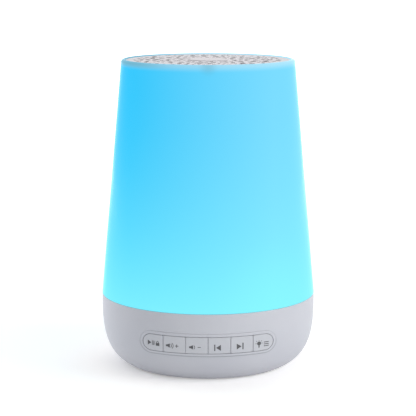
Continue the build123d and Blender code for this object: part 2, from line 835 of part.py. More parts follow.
# --- Grille and its cloth ---------------------------------------------------------
boss_angles = even_angles(grille_screws, 45)
boss_spots = [
    (grille_screw_ring * cos(radians(a)), grille_screw_ring * sin(radians(a))) for a in boss_angles
]
scatter = Random(7)
holes = []
for attempt in range(hole_tries):
    radius = hole_sizes[attempt % len(hole_sizes)]
    spread = scatter.uniform((badge_r / hole_zone_r) ** 2, 1)
    bearing = scatter.uniform(0, 2 * pi)
    distance = hole_zone_r * sqrt(spread)
    x, y = distance * cos(bearing), distance * sin(bearing)
    if distance - radius < badge_r + hole_web or distance + radius > hole_zone_r:
        continue
    if any(hypot(x - a, y - b) < radius + grille_boss_r + cloth_edge for a, b in boss_spots):
        continue
    if any(hypot(x - a, y - b) < radius + r + hole_web for a, b, r in holes):
        continue
    holes.append((x, y, radius))

boss_low = horn_ring_z + horn_t
with BuildPart() as grille:
    add(ring(0, grille_r, grille_z, grille_top))
    chamfer(grille.edges().group_by(Axis.Z)[-1], grille_edge)
    add(ring(grille_r - skirt_t, grille_r, grille_z - skirt_h, grille_z))
    with BuildSketch(Plane.XY.offset(grille_z)):
        for x, y, radius in holes:
            with Locations((x, y)):
                Circle(radius)
    extrude(amount=grille_t, mode=Mode.SUBTRACT)
    add(ring(0, badge_r, grille_top, grille_top + badge_h))
    chamfer(grille.edges().group_by(Axis.Z)[-1], badge_edge)
    for x, y in boss_spots:
        add(upright(x, y, boss_low, grille_z, grille_boss_r))
    pilot = screw_l - horn_t - (horn_ring_z - (speaker_z - rim_t)) + pilot_spare
    for x, y in boss_spots:
        add(upright(x, y, boss_low, boss_low + pilot, screw_r), mode=Mode.SUBTRACT)
save(grille.part, "grille")

with BuildPart() as cloth:
    add(ring(0, grille_r - skirt_t - cloth_edge, grille_z - cloth_t, grille_z))
    for x, y in boss_spots:
        hole = upright(x, y, grille_z - cloth_t, grille_z, grille_boss_r + fit)
        add(hole, mode=Mode.SUBTRACT)
save(cloth.part, "grille_cloth")

# --- Speaker housing --------------------------------------------------------------
cup_flange_z = speaker_z - rim_t
with BuildPart() as horn:
    add(
        turned(
            (horn_bore, horn_ring_z),
            (horn_ring_r, horn_ring_z),
            (ledge_r - fit, ledge_top),
            (grille_r, ledge_top),
            (grille_r, ledge_top + horn_t),
            (ledge_r - fit - horn_t, ledge_top + horn_t),
            (horn_ring_r, horn_ring_z + horn_t),
            (horn_bore, horn_ring_z + horn_t),
        )
    )
    for x, y in boss_spots:
        hole = upright(x, y, horn_ring_z, boss_low, screw_r + screw_pass)
        add(hole, mode=Mode.SUBTRACT)
save(horn.part, "speaker_horn")

cup_low_r = cup_r - cup_taper
with BuildPart() as cup:
    add(
        turned(
            (0, cup_bottom),
            (cup_low_r, cup_bottom),
            (cup_r, cup_flange_z - horn_t),
            (cup_r, cup_flange_z),
            (horn_ring_r, cup_flange_z),
            (horn_ring_r, horn_ring_z),
            (speaker_r + fit, horn_ring_z),
            (speaker_r + fit, cup_flange_z),
            (speaker_r - cup_seat_w, cup_flange_z),
            (speaker_r - cup_seat_w, cup_flange_z - horn_t),
            (cup_low_r - cup_wall, cup_floor),
            (0, cup_floor),
        )
    )
    add(ring(column_r + fit, column_r + fit + socket_wall, socket_z, cup_bottom))
    add(ring(0, wire_hole_r, cup_bottom, cup_floor), mode=Mode.SUBTRACT)
    hole = upright(cup_screw_ring, 0, cup_bottom, cup_floor, small_screw_r + fit)
    for cut in around(hole, even_angles(cup_screws, cup_screw_turn)):
        add(cut, mode=Mode.SUBTRACT)
    for x, y in boss_spots:
        hole = upright(x, y, cup_flange_z, horn_ring_z, screw_r + screw_pass)
        add(hole, mode=Mode.SUBTRACT)
save(cup.part, "speaker_cup")

grille_screw = Pos(grille_screw_ring, 0, cup_flange_z) * big_screw_up
save_group(around(grille_screw, boss_angles), "grille_screws")

# --- Speaker ----------------------------------------------------------------------
gasket_z = speaker_z + roll_t
save(ring(horn_bore, speaker_r, gasket_z, horn_ring_z), "speaker_gasket")

rim_bore_r = speaker_r - rim_w
ledge_out = basket_neck_r + spider_ledge_w
with BuildPart() as basket:
    add(
        turned(
            (speaker_r, speaker_z),
            (speaker_r, cup_flange_z),
            (rim_bore_r, cup_flange_z),
            (ledge_out + basket_t, spider_z - basket_t),
            (basket_neck_r, spider_z - basket_t),
            (basket_neck_r, basket_floor),
            (basket_hole_r, basket_floor),
            (basket_hole_r, basket_floor + basket_t),
            (basket_neck_r - basket_t, basket_floor + basket_t),
            (basket_neck_r - basket_t, spider_z),
            (ledge_out, spider_z),
            (rim_bore_r - basket_t, speaker_z),
        )
    )
    window_low = spider_z + window_over
    window_high = cup_flange_z - window_under
    side = radians(basket_window / 2)
    corner_x, corner_y = speaker_r * cos(side), speaker_r * sin(side)
    with BuildSketch(Plane.XY.offset(window_low)):
        for angle in even_angles(basket_windows):
            with Locations(Location((0, 0, 0), (0, 0, angle))):
                Polygon((0, 0), (corner_x, -corner_y), (corner_x, corner_y), align=None)
    extrude(amount=window_high - window_low, mode=Mode.SUBTRACT)
save(basket.part, "speaker_basket")

save(ring(coil_r + gap_clear, front_plate_r, front_plate_z, basket_floor), "speaker_front_plate")
save(ring(magnet_bore, magnet_r, magnet_z, front_plate_z), "speaker_magnet")

with BuildPart() as yoke:
    add(ring(0, yoke_r, yoke_z, magnet_z))
    chamfer(yoke.edges().group_by(Axis.Z)[0], yoke_edge)
    add(ring(0, neck_r - pole_clear, magnet_z, basket_floor + pole_proud))
save(yoke.part, "speaker_yoke")

with BuildPart() as surround:
    with BuildSketch(Plane.XZ):
        with Locations((roll_ring, speaker_z)):
            Circle(roll_r + roll_t)
            Circle(roll_r, mode=Mode.SUBTRACT)
            below = 2 * (roll_r + roll_t)
            Rectangle(2 * below, below, align=(Align.CENTER, Align.MAX), mode=Mode.SUBTRACT)
        with Locations((roll_ring + roll_r, speaker_z)):
            flat = speaker_r - roll_ring - roll_r
            Rectangle(flat, roll_t, align=(Align.MIN, Align.MIN))
        with Locations((cone_r, speaker_z)):
            Rectangle(cone_lip, roll_t, align=(Align.MAX, Align.MIN))
    revolve(axis=Axis.Z)
save(surround.part, "speaker_surround")

with BuildPart() as spider:
    spider_in = former_r + spider_clear
    add(ring(spider_in, ledge_out - spider_clear, spider_z, spider_z + spider_t))
save(spider.part, "speaker_spider")

cone_slope = cone_depth / (cone_r - cone_lip - former_r)
save(
    turned(
        (former_r, neck_z),
        (cone_r - cone_lip, speaker_z),
        (cone_r, speaker_z),
        (cone_r, speaker_z - cone_t),
        (cone_r - cone_lip, speaker_z - cone_t),
        (former_r, neck_z - cone_t),
    ),
    "speaker_cone",
)

former_low = coil_z - winding_h / 2
save(ring(neck_r, former_r, former_low, neck_z), "voice_coil_former")
save(ring(former_r, coil_r, former_low, former_low + winding_h), "voice_coil")

cap_z = neck_z + (dust_cap_r - former_r) * cone_slope
cap_in = dust_cap_r - dust_cap_t
cap_in_z = cap_z - dust_cap_t * cone_slope
cap_top = cap_z + dust_cap_h


def dome_side(radius, low, high):
    """Point halfway along the arc of a dome, from its edge to its top on the Z axis."""
    rise = high - low
    sphere_r = (radius**2 + rise**2) / (2 * rise)
    half = asin(radius / sphere_r) / 2
    return (sphere_r * sin(half), high - sphere_r * (1 - cos(half)))


with BuildPart() as dust_cap:
    with BuildSketch(Plane.XZ):
        with BuildLine():
            cap_bottom = cap_top - dust_cap_t
            outer_side = dome_side(dust_cap_r, cap_z, cap_top)
            inner_side = dome_side(cap_in, cap_in_z, cap_bottom)
            Line((cap_in, cap_in_z), (dust_cap_r, cap_z))
            ThreePointArc((dust_cap_r, cap_z), outer_side, (0, cap_top))
            Line((0, cap_top), (0, cap_bottom))
            ThreePointArc((0, cap_bottom), inner_side, (cap_in, cap_in_z))
        make_face()
    revolve(axis=Axis.Z)
save(dust_cap.part, "dust_cap")

strip_z = spider_z - basket_t - strip_t
strip_x = basket_neck_r + fit
strip = block(strip_x + strip_l / 2, 0, strip_z, strip_l, strip_w, strip_t)
save(strip, "terminal_strip")
tag_x = strip_x + strip_l - tag_l / 2
tags = [block(tag_x, side * tag_y, strip_z - tag_t, tag_l, tag_w, tag_t) for side in (-1, 1)]
save_group(tags, "speaker_terminals")

# --- Main board and what stands on it ---------------------------------------------
with BuildPart() as main_board:
    board_back = skin_radius(main_board_z, shell_wall) - main_board_room
    with BuildSketch(Plane.XY.offset(main_board_z)):
        Circle(board_back)
        with Locations((0, main_board_y)):
            align = (Align.CENTER, Align.MIN)
            Rectangle(main_board_w, base_r, align=align, mode=Mode.INTERSECT)
        with Locations(*main_post_spots):
            Circle(small_screw_r + fit, mode=Mode.SUBTRACT)
    extrude(amount=board_t)
save(main_board.part, "main_board")

main_screws = [Pos(x, y, board_face) * small_screw for x, y in main_post_spots]
save_group(main_screws, "main_board_screws")

save(block(*controller_spot, board_face, controller_w, controller_w, chip_h), "controller_chip")
save(block(*amplifier_spot, board_face, amplifier_w, amplifier_w, chip_h), "amplifier_chip")
save(block(*coil_spot, board_face, coil_w, coil_w, coil_h), "charging_coil")

with BuildPart() as capacitor:
    Cylinder(capacitor_r, capacitor_h, align=(Align.CENTER, Align.CENTER, Align.MIN))
    fillet(capacitor.edges().group_by(Axis.Z)[-1], capacitor_edge)
capacitors = [Pos(x, y, board_face) * capacitor.part for x, y in capacitor_spots]
save_group(capacitors, "capacitors")

with BuildPart() as usb_socket:
    with BuildSketch(Plane.XZ.offset(-usb_y)):
        with Locations((0, usb_z)):
            SlotOverall(usb_w, usb_h)
    extrude(amount=usb_l)
    with BuildSketch(Plane.XZ.offset(-usb_y)):
        with Locations((0, usb_z)):
            SlotOverall(usb_w - 2 * usb_skin, usb_h - 2 * usb_skin)
    extrude(amount=usb_l - usb_back, mode=Mode.SUBTRACT)
    with BuildSketch(Plane.XZ.offset(-usb_y + usb_l - usb_back)):
        with Locations((0, usb_z)):
            Rectangle(usb_tongue_w, usb_tongue_t)
    extrude(amount=-usb_tongue_l)
save(usb_socket.part, "usb_socket")

# --- Battery ----------------------------------------------------------------------
with BuildPart() as cell:
    with BuildSketch(Plane.YZ.offset(-cell_l / 2)):
        with Locations((cell_y, cell_z)):
            Circle(cell_r)
    extrude(amount=cell_l)
    fillet(cell.edges().filter_by(GeomType.CIRCLE), cell_edge)
save(cell.part, "battery_cell")

with BuildPart() as strap:
    with BuildSketch(Plane.YZ.offset(-strap_w / 2)):
        with Locations((cell_y, cell_z)):
            Circle(strap_r + strap_t)
            align = (Align.CENTER, Align.MIN)
            Rectangle(2 * (strap_r + strap_t), strap_r + strap_t, align=align, mode=Mode.INTERSECT)
            Rectangle(2 * (strap_reach + strap_foot / 2), strap_t, align=align)
            Circle(strap_r, mode=Mode.SUBTRACT)
    extrude(amount=strap_w)
    for side in (-1, 1):
        post_y = cell_y + side * strap_reach
        hole = upright(0, post_y, cell_z, cell_z + strap_t, small_screw_r + fit)
        add(hole, mode=Mode.SUBTRACT)
save(strap.part, "battery_strap")

strap_spots = [(0, cell_y + side * strap_reach, cell_z + strap_t) for side in (-1, 1)]
save_group([Pos(*spot) * small_screw for spot in strap_spots], "strap_screws")

# --- Connectors and leads ---------------------------------------------------------
connectors = []
for x in (battery_x, speaker_x, key_lead_x):
    middle_y = connector_y + connector_d / 2
    connectors.append(block(x, middle_y, board_face, connector_w, connector_d, connector_h))
connectors.append(block(*light_spot, board_face, connector_w, connector_d, connector_h))
hanging = led_board_z - connector_h
connectors.append(block(*light_spot, hanging, connector_w, connector_d, connector_h))
ribbon_z = cell_z + strap_r + strap_t + ribbon_t
key_plug_z = ribbon_z - connector_d / 2
key_plug = block(
    key_lead_x, key_board_back + connector_h / 2, key_plug_z, connector_w, connector_h, connector_d
)
connectors.append(key_plug)
save_group(connectors, "board_connectors")

wire_pair = (-lead_pitch / 2, lead_pitch / 2)
tag_end = strip_x + strip_l - lead_r - fit
turn_z = cup_floor + small_head_h + lead_r
speaker_leads = []
for side in wire_pair:
    route = [
        (tag_end, side * lead_end_pitch, strip_z - tag_t),
        (tag_end, side * lead_end_pitch, turn_z),
        (0, side, turn_z),
        (0, side, deck_z - 2 * column_tail),
        (speaker_x + side, connector_y - lead_straight, lead_z),
        (speaker_x + side, connector_y, lead_z),
    ]
    speaker_leads.append(lead(route, widest=speaker_lead_bend))
save_group(speaker_leads, "speaker_leads")

battery_leads = []
for side in wire_pair:
    end_x, end_y = -cell_l / 2, cell_y + side * lead_end_pitch
    out_x, back_y = end_x - lead_out - side, connector_y - lead_out - side
    route = [
        (end_x, end_y, lead_z),
        (out_x, end_y, lead_z),
        (out_x, back_y, lead_z),
        (battery_x + side, back_y, lead_z),
        (battery_x + side, connector_y, lead_z),
    ]
    battery_leads.append(lead(route))
save_group(battery_leads, "battery_leads")

light_leads = []
for side in wire_pair:
    x, y = light_spot[0] + side, light_spot[1]
    light_leads.append(lead([(x, y, board_face + connector_h), (x, y, hanging)]))
save_group(light_leads, "light_leads")

with BuildPart() as ribbon:
    with BuildSketch(Plane.YZ.offset(key_lead_x - ribbon_w / 2)):
        with BuildLine():
            FilletPolyline(
                (key_board_back + connector_h, ribbon_z),
                (cell_y + cell_r, ribbon_z),
                (connector_y - lead_straight, lead_z),
                (connector_y, lead_z),
                radius=ribbon_bend,
            )
        trace(line_width=ribbon_t)
    extrude(amount=ribbon_w)
save(ribbon.part, "key_ribbon")
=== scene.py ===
import json
from math import cos, pi, radians, sin

import bpy
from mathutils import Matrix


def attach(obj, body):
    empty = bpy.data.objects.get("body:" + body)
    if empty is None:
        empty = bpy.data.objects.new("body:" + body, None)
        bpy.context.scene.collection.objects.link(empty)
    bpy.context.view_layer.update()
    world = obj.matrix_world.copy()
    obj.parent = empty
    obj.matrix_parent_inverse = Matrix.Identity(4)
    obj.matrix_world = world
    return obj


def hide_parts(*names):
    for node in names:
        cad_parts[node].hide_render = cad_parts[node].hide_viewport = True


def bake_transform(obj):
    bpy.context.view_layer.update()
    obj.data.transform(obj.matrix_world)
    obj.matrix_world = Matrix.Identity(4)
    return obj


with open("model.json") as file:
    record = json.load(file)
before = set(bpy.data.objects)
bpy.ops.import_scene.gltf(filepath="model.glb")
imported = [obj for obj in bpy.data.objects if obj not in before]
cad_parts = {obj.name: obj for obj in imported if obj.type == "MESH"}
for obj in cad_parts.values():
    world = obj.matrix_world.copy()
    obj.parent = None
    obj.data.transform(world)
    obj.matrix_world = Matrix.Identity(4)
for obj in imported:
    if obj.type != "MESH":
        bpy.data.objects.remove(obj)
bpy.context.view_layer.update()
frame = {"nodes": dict(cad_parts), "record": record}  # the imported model: metres, keys towards -Y, the floor at z = 0
nodes = frame["nodes"]
scene = bpy.context.scene
scene.view_settings.view_transform = "Standard"
print("frame loaded,", len(nodes), "nodes")


# shaping steps that several pieces share

def metres(*millimetres):
    return tuple(length / 1000 for length in millimetres)


def clearPicks():
    bpy.ops.object.select_all(action="DESELECT")


def pickOnly(pieces):  # the first of them becomes the active one
    clearPicks()
    for piece in pieces:
        piece.select_set(True)
    bpy.context.view_layer.objects.active = pieces[0]


def settle():  # place, turn and size go into the mesh
    bpy.ops.object.transform_apply(location=True, rotation=True, scale=True)


def startEdit():
    bpy.ops.object.mode_set(mode="EDIT")
    bpy.ops.mesh.select_all(action="SELECT")


def endEdit():
    bpy.ops.object.mode_set(mode="OBJECT")


def slicePiece(cuts, normal):  # new edges where planes square to X or Z cross the piece, in millimetres
    for cut in metres(*cuts):
        bpy.ops.mesh.select_all(action="SELECT")
        bpy.ops.mesh.bisect(plane_co=(cut, 0, cut), plane_no=normal)


def wrapOnto(piece, target):  # a flat piece is pressed onto the target along Y
    wrap = piece.modifiers.new("wrap", "SHRINKWRAP")
    wrap.target = target
    wrap.wrap_method = "PROJECT"
    wrap.use_project_y = True
    bpy.ops.object.modifier_apply(modifier="wrap")


def copyPiece(piece, move=(0, 0, 0), turn=0):  # a copy with a mesh of its own, turned round Z
    pickOnly([piece])
    bpy.ops.object.duplicate(linked=False)
    copy = bpy.context.object
    copy.location = move
    copy.rotation_euler = (0, 0, turn)
    settle()
    return copy


def joinPieces(pieces, name):
    pickOnly(pieces)
    bpy.ops.object.join()
    joined = bpy.context.object
    joined.name = joined.data.name = name
    return joined


# node steps that several finishes share

def hexColor(text):  # a screen colour as linear red, green, blue, alpha
    channels = [int(text[i:i + 2], 16) / 255 for i in (0, 2, 4)]
    linear = [c / 12.92 if c <= 0.04045 else ((c + 0.055) / 1.055) ** 2.4 for c in channels]
    return (*linear, 1.0)


def feedNode(tree, node, feeds):  # a feed is a link or a plain value
    for socket, value in feeds.items():
        if isinstance(value, bpy.types.NodeSocket):
            tree.links.new(value, node.inputs[socket])
        else:
            node.inputs[socket].default_value = value


def addNode(tree, kind, feeds, **settings):
    node = tree.nodes.new("ShaderNode" + kind)
    for key, value in settings.items():
        setattr(node, key, value)
    feedNode(tree, node, feeds)
    return node


def mixColors(tree, factor, first, second):
    return addNode(tree, "Mix", {0: factor, 6: first, 7: second}, data_type="RGBA").outputs[2]


def mathNode(tree, operation, first, second=0.0, clamp=False):
    node = addNode(tree, "Math", {0: first, 1: second}, operation=operation, use_clamp=clamp)
    return node.outputs[0]


def mapRange(tree, value, fromLow, fromHigh, toLow=0.0, toHigh=1.0, curve="LINEAR"):
    feeds = {0: value, 1: fromLow, 2: fromHigh, 3: toLow, 4: toHigh}
    return addNode(tree, "MapRange", feeds, interpolation_type=curve).outputs[0]


def splitAxes(tree, vector):
    return addNode(tree, "SeparateXYZ", {0: vector}).outputs


def distanceTo(tree, place, spot=(0, 0, 0)):
    return addNode(tree, "VectorMath", {0: place, 1: spot}, operation="DISTANCE").outputs["Value"]


def facingUp(tree):  # 1 on top, 0 on upright walls, -1 underneath
    normal = tree.nodes.new("ShaderNodeNewGeometry").outputs["True Normal"]
    return splitAxes(tree, normal)["Z"]


def seenRays(tree):  # 1 for the camera, for mirrors and through glass, 0 for plain light
    rays = tree.nodes.new("ShaderNodeLightPath").outputs
    seen = mathNode(tree, "ADD", rays["Is Camera Ray"], rays["Is Transmission Ray"])
    return mathNode(tree, "ADD", seen, rays["Is Glossy Ray"], clamp=True)


def addNoise(tree, place, scale, detail, stretch=None):
    if stretch:
        place = addNode(tree, "Mapping", {"Vector": place, "Scale": stretch}).outputs[0]
    return addNode(tree, "TexNoise", {"Vector": place, "Scale": scale, "Detail": detail}).outputs[0]


noiseSpan = (0.3, 0.7)  # nearly all of a noise pattern lies between these values


def spreadNoise(tree, noise, low=0.0, high=1.0):
    return mapRange(tree, noise, *noiseSpan, low, high)


def roughAround(tree, noise, look):  # roughness that wanders round its middle value
    half = look["roughSpread"] / 2
    return spreadNoise(tree, noise, look["roughness"] - half, look["roughness"] + half)


waveLength = 0.314  # metres between the bands of a wave pattern at scale 1


def addWave(tree, place, axis, pitch, waver=0.0):  # bands square to the axis, two pitches apart
    feeds = {"Vector": place, "Scale": waveLength / pitch / 2, "Distortion": waver, "Detail": 1.0}
    return addNode(tree, "TexWave", feeds, bands_direction=axis).outputs[1]


def startFinish(name):  # an empty material: its shader, and the place on the piece that patterns read
    finish = bpy.data.materials.new(name)
    finish.use_nodes = True
    tree = finish.node_tree
    tree.nodes.clear()
    shader = tree.nodes.new("ShaderNodeBsdfPrincipled")
    addNode(tree, "OutputMaterial", {"Surface": shader.outputs["BSDF"]})
    place = tree.nodes.new("ShaderNodeTexCoord").outputs["Object"]
    return finish, tree, shader, place


def addBump(tree, shader, height, depth, strength=1.0):
    bump = addNode(tree, "Bump", {"Height": height, "Distance": depth, "Strength": strength})
    tree.links.new(bump.outputs[0], shader.inputs["Normal"])


# camera, in front and a little above
cameraLook = {"place": (0.0, -0.7442, 0.20232), "tilt": 9.604, "lens": 132.24, "shiftX": -0.00024,
              "nearest": 0.05, "farthest": 30.0}

clearPicks()
bpy.ops.object.camera_add(location=cameraLook["place"], rotation=(radians(90 - cameraLook["tilt"]), 0, 0))
camera = bpy.context.object
camera.name = "studioCamera"
camera.data.lens = cameraLook["lens"]
camera.data.shift_x = cameraLook["shiftX"]
camera.data.clip_start = cameraLook["nearest"]
camera.data.clip_end = cameraLook["farthest"]
scene.camera = camera
print("camera set")


# world: white where it is seen, a softer fill where it only lights
worldLook = {"seen": "FFFFFF", "seenStrength": 1.0, "fill": "F7F6F4", "fillStrength": 0.75}


def addSky(tree, color, strength):
    return addNode(tree, "Background", {"Color": hexColor(color), "Strength": strength}).outputs[0]


world = bpy.data.worlds.new("studioWorld")
scene.world = world
world.use_nodes = True
tree = world.node_tree
tree.nodes.clear()
fillSky = addSky(tree, worldLook["fill"], worldLook["fillStrength"])
seenSky = addSky(tree, worldLook["seen"], worldLook["seenStrength"])
sky = addNode(tree, "MixShader", {0: seenRays(tree), 1: fillSky, 2: seenSky}).outputs[0]
addNode(tree, "OutputWorld", {"Surface": sky})


# floor: its own glow brightens with the distance, and once more round the foot, but not on the left
floorLook = {
    "size": 14.0, "roughness": 0.9, "gloss": 0.1,
    "color": "FAFAFB", "speckColor": "FBFBFC", "speckScale": 60.0, "speckDetail": 3.0,
    "nearGlow": 0.14, "farGlow": 1.0, "glowFrom": 0.35, "glowTo": 1.2,
    "footGlow": 0.26, "footFrom": 0.058, "footTo": 0.040, "footCurve": 2.0,
    "leftFrom": -0.040, "leftTo": -0.010,
}


def floorFinish(name, look):
    finish, tree, shader, place = startFinish(name)
    speck = spreadNoise(tree, addNoise(tree, place, look["speckScale"], look["speckDetail"]))
    color = mixColors(tree, speck, hexColor(look["color"]), hexColor(look["speckColor"]))
    away = distanceTo(tree, place)
    glow = mapRange(tree, away, look["glowFrom"], look["glowTo"], look["nearGlow"], look["farGlow"])
    foot = mapRange(tree, away, look["footFrom"], look["footTo"])
    foot = mathNode(tree, "POWER", foot, look["footCurve"])
    across = splitAxes(tree, place)["X"]
    side = mapRange(tree, across, look["leftFrom"], look["leftTo"], 0.0, look["footGlow"])
    glow = mathNode(tree, "ADD", glow, mathNode(tree, "MULTIPLY", foot, side))
    feedNode(tree, shader, {"Base Color": color, "Roughness": look["roughness"],
                            "Specular IOR Level": look["gloss"], "Emission Color": (1, 1, 1, 1),
                            "Emission Strength": mathNode(tree, "MULTIPLY", seenRays(tree), glow)})
    return finish


clearPicks()
bpy.ops.mesh.primitive_plane_add(size=floorLook["size"], location=(0, 0, 0))
floor = bpy.context.object
floor.name = "studioFloor"
floor.data.materials.append(floorFinish("studioFloorWhite", floorLook))


# soft lights, aimed at the middle of the object; some only fill, and leave no streak on the shade
softboxPlain = {"color": "FFFFFF", "inGloss": True, "aimHeight": 0.07}
softboxes = {
    "rightSoftbox": {"place": (0.8, -0.3, 0.4), "size": (0.5, 0.5), "power": 3.0, "color": "FFFDFA"},
    "rightFrontSoftbox": {"place": (0.6, -0.65, 0.35), "size": (0.5, 0.5), "power": 1.1, "color": "FFFDFA"},
    "leftSoftbox": {"place": (-0.75, 0.5, 0.12), "size": (0.5, 0.18), "power": 4.2, "inGloss": False},
    "backLeftSoftbox": {"place": (-0.5, 0.68, 0.12), "size": (0.5, 0.18), "power": 1.4, "inGloss": False},
    "backSoftbox": {"place": (0.5, 0.68, 0.12), "size": (0.5, 0.18), "power": 1.8, "inGloss": False},
    "frontSoftbox": {"place": (0.15, -0.95, 0.12), "size": (0.9, 0.2), "power": 0.5, "inGloss": False},
    "topSoftbox": {"place": (0.05, 0.1, 1.1), "size": (0.8, 0.8), "power": 0.8},
}

for name, look in softboxes.items():
    look = {**softboxPlain, **look}
    clearPicks()
    bpy.ops.object.light_add(type="AREA", location=look["place"])
    light = bpy.context.object
    light.name = name
    light.data.shape = "RECTANGLE"
    light.data.size, light.data.size_y = look["size"]
    light.data.energy = look["power"]
    light.data.color = hexColor(look["color"])[:3]
    light.visible_camera = False
    light.visible_glossy = look["inGloss"]
    towards = -light.location
    towards.z += look["aimHeight"]
    light.rotation_mode = "QUATERNION"
    light.rotation_quaternion = towards.to_track_quat("-Z", "Y")
print("studio lit")


# molded plastic, rubber, foam and paper: cloudy colour and a fine grain
holeWallShadeLook = {"color": "4A484E", "from": 0.3, "to": 0.8}  # upright walls, as inside the holes, are painted dark as shade
keyUnderLightLook = {"color": "DFE1E6", "from": -0.4, "to": -0.75}  # painted light: rounded lower edges, facing down, are made paler to lift their shade
# painted shadow: a soft dark line where the raised band round the keys meets the side, stronger below and only in
# front
bandShadowLook = {"color": "8C8E96", "straight": 0.0267, "level": 0.020, "radius": 0.0055, "width": 0.0005,
            "rise": 0.004, "above": 0.15, "below": 0.8, "frontFrom": -0.030, "frontTo": -0.036}
moldedPlain = {"cloudScale": 35.0, "cloudFrom": 0.35, "cloudTo": 0.65, "cloudDetail": 4.0,
               "grainScale": 5200.0, "grainDepth": 0.00003, "grainStrength": 0.6, "grainDetail": 2.0,
               "roughness": 0.5, "roughSpread": 0.06, "gloss": 0.5}
moldedLooks = {
    "base_plastic": {"color": "B8BAC2", "cloudColor": "B5B7C0", "roughness": 0.52, "line": bandShadowLook},
    "key_plastic": {"color": "B8BAC1", "cloudColor": "B5B7BF", "roughness": 0.45, "grainScale": 6500.0,
                    "edge": keyUnderLightLook},
    "grille_plastic": {"color": "E2DFE5", "cloudColor": "DDDBE1", "roughness": 0.55, "wall": holeWallShadeLook},
    "foot_rubber": {"color": "3A3A3D", "cloudColor": "323235", "roughness": 0.75, "grainScale": 2600.0,
                    "grainDepth": 0.00006},
    "switch_black": {"color": "1B1B1C", "cloudColor": "222224", "roughness": 0.4},
    "switch_plunger": {"color": "A8352C", "cloudColor": "9E3028", "roughness": 0.4},
    "led_board_white": {"color": "EDEDEA", "cloudColor": "E6E6E2", "roughness": 0.35},
    "led_lens": {"color": "F4E9A8", "cloudColor": "F0DF8C", "roughness": 0.15, "grainDepth": 0.00001},
    "deck_white": {"color": "ECECEA", "cloudColor": "E6E6E4", "roughness": 0.45},
    "housing_dark": {"color": "2A2A2C", "cloudColor": "242426", "roughness": 0.5},
    "gasket_foam": {"color": "262626", "cloudColor": "1F1F1F", "roughness": 0.95, "grainScale": 1500.0,
                    "grainDepth": 0.00015},
    "ferrite": {"color": "37373A", "cloudColor": "2D2D30", "roughness": 0.6, "grainScale": 2000.0},
    "surround_rubber": {"color": "202021", "cloudColor": "1A1A1B", "roughness": 0.55},
    "cone_paper": {"color": "2B2B2B", "cloudColor": "222222", "roughness": 0.85, "grainScale": 1800.0,
                   "grainDepth": 0.0001},
    "strip_board": {"color": "6E4A2A", "cloudColor": "5F3F23", "roughness": 0.6},
    "chip_black": {"color": "1A1A1B", "cloudColor": "202021", "roughness": 0.35},
    "capacitor_sleeve": {"color": "1C2440", "cloudColor": "182038", "roughness": 0.25},
    "cell_wrap": {"color": "2F7FB8", "cloudColor": "2B77AE", "roughness": 0.2, "grainDepth": 0.00001},
    "connector_nylon": {"color": "ECE7D6", "cloudColor": "E4DEC9", "roughness": 0.3},
    "wire_black": {"color": "1E1E1F", "cloudColor": "262627", "roughness": 0.4},
    "wire_red": {"color": "B02222", "cloudColor": "A31E1E", "roughness": 0.4},
    "wire_white": {"color": "E0E0DE", "cloudColor": "D8D8D5", "roughness": 0.4},
    "ribbon_grey": {"color": "B2B2B4", "cloudColor": "A6A6A9", "roughness": 0.45},
}


def paintedBandShadow(tree, place, look):  # how dark the painted shadow line is: it runs at one distance from a level stretch
    axes = splitAxes(tree, place)
    beyond = mathNode(tree, "SUBTRACT", mathNode(tree, "ABSOLUTE", axes["X"]), look["straight"])
    beyond = mathNode(tree, "MAXIMUM", beyond, 0.0)
    rise = mathNode(tree, "SUBTRACT", axes["Z"], look["level"])
    away = distanceTo(tree, addNode(tree, "CombineXYZ", {0: beyond, 1: rise, 2: 0.0}).outputs[0])
    offLine = mathNode(tree, "ABSOLUTE", mathNode(tree, "SUBTRACT", away, look["radius"]))
    line = mapRange(tree, offLine, 0.0, look["width"], 1.0, 0.0, "SMOOTHSTEP")
    share = mapRange(tree, rise, look["rise"], -look["rise"], look["above"], look["below"])
    front = mapRange(tree, axes["Y"], look["frontFrom"], look["frontTo"])
    return mathNode(tree, "MULTIPLY", mathNode(tree, "MULTIPLY", line, share), front)


def moldedFinish(name, look):
    look = {**moldedPlain, **look}
    finish, tree, shader, place = startFinish(name)
    cloud = addNoise(tree, place, look["cloudScale"], look["cloudDetail"])
    cloud = mapRange(tree, cloud, look["cloudFrom"], look["cloudTo"])
    color = mixColors(tree, cloud, hexColor(look["color"]), hexColor(look["cloudColor"]))
    # painted shade: upright walls, such as inside the grille's holes, are mixed towards a dark colour
    if "wall" in look:
        wall = look["wall"]
        flat = mapRange(tree, mathNode(tree, "ABSOLUTE", facingUp(tree)), wall["from"], wall["to"])
        color = mixColors(tree, flat, hexColor(wall["color"]), color)
    # painted light: surfaces facing down are mixed towards a paler colour
    if "edge" in look:
        edge = look["edge"]
        under = mapRange(tree, facingUp(tree), edge["from"], edge["to"])
        color = mixColors(tree, under, color, hexColor(edge["color"]))
    # painted shadow along the foot of the raised band round the keys
    if "line" in look:
        line = look["line"]
        color = mixColors(tree, paintedBandShadow(tree, place, line), color, hexColor(line["color"]))
    grain = addNoise(tree, place, look["grainScale"], look["grainDetail"])
    feedNode(tree, shader, {"Base Color": color, "Roughness": roughAround(tree, grain, look),
                            "Specular IOR Level": look["gloss"]})
    addBump(tree, shader, grain, look["grainDepth"], look["grainStrength"])
    return finish


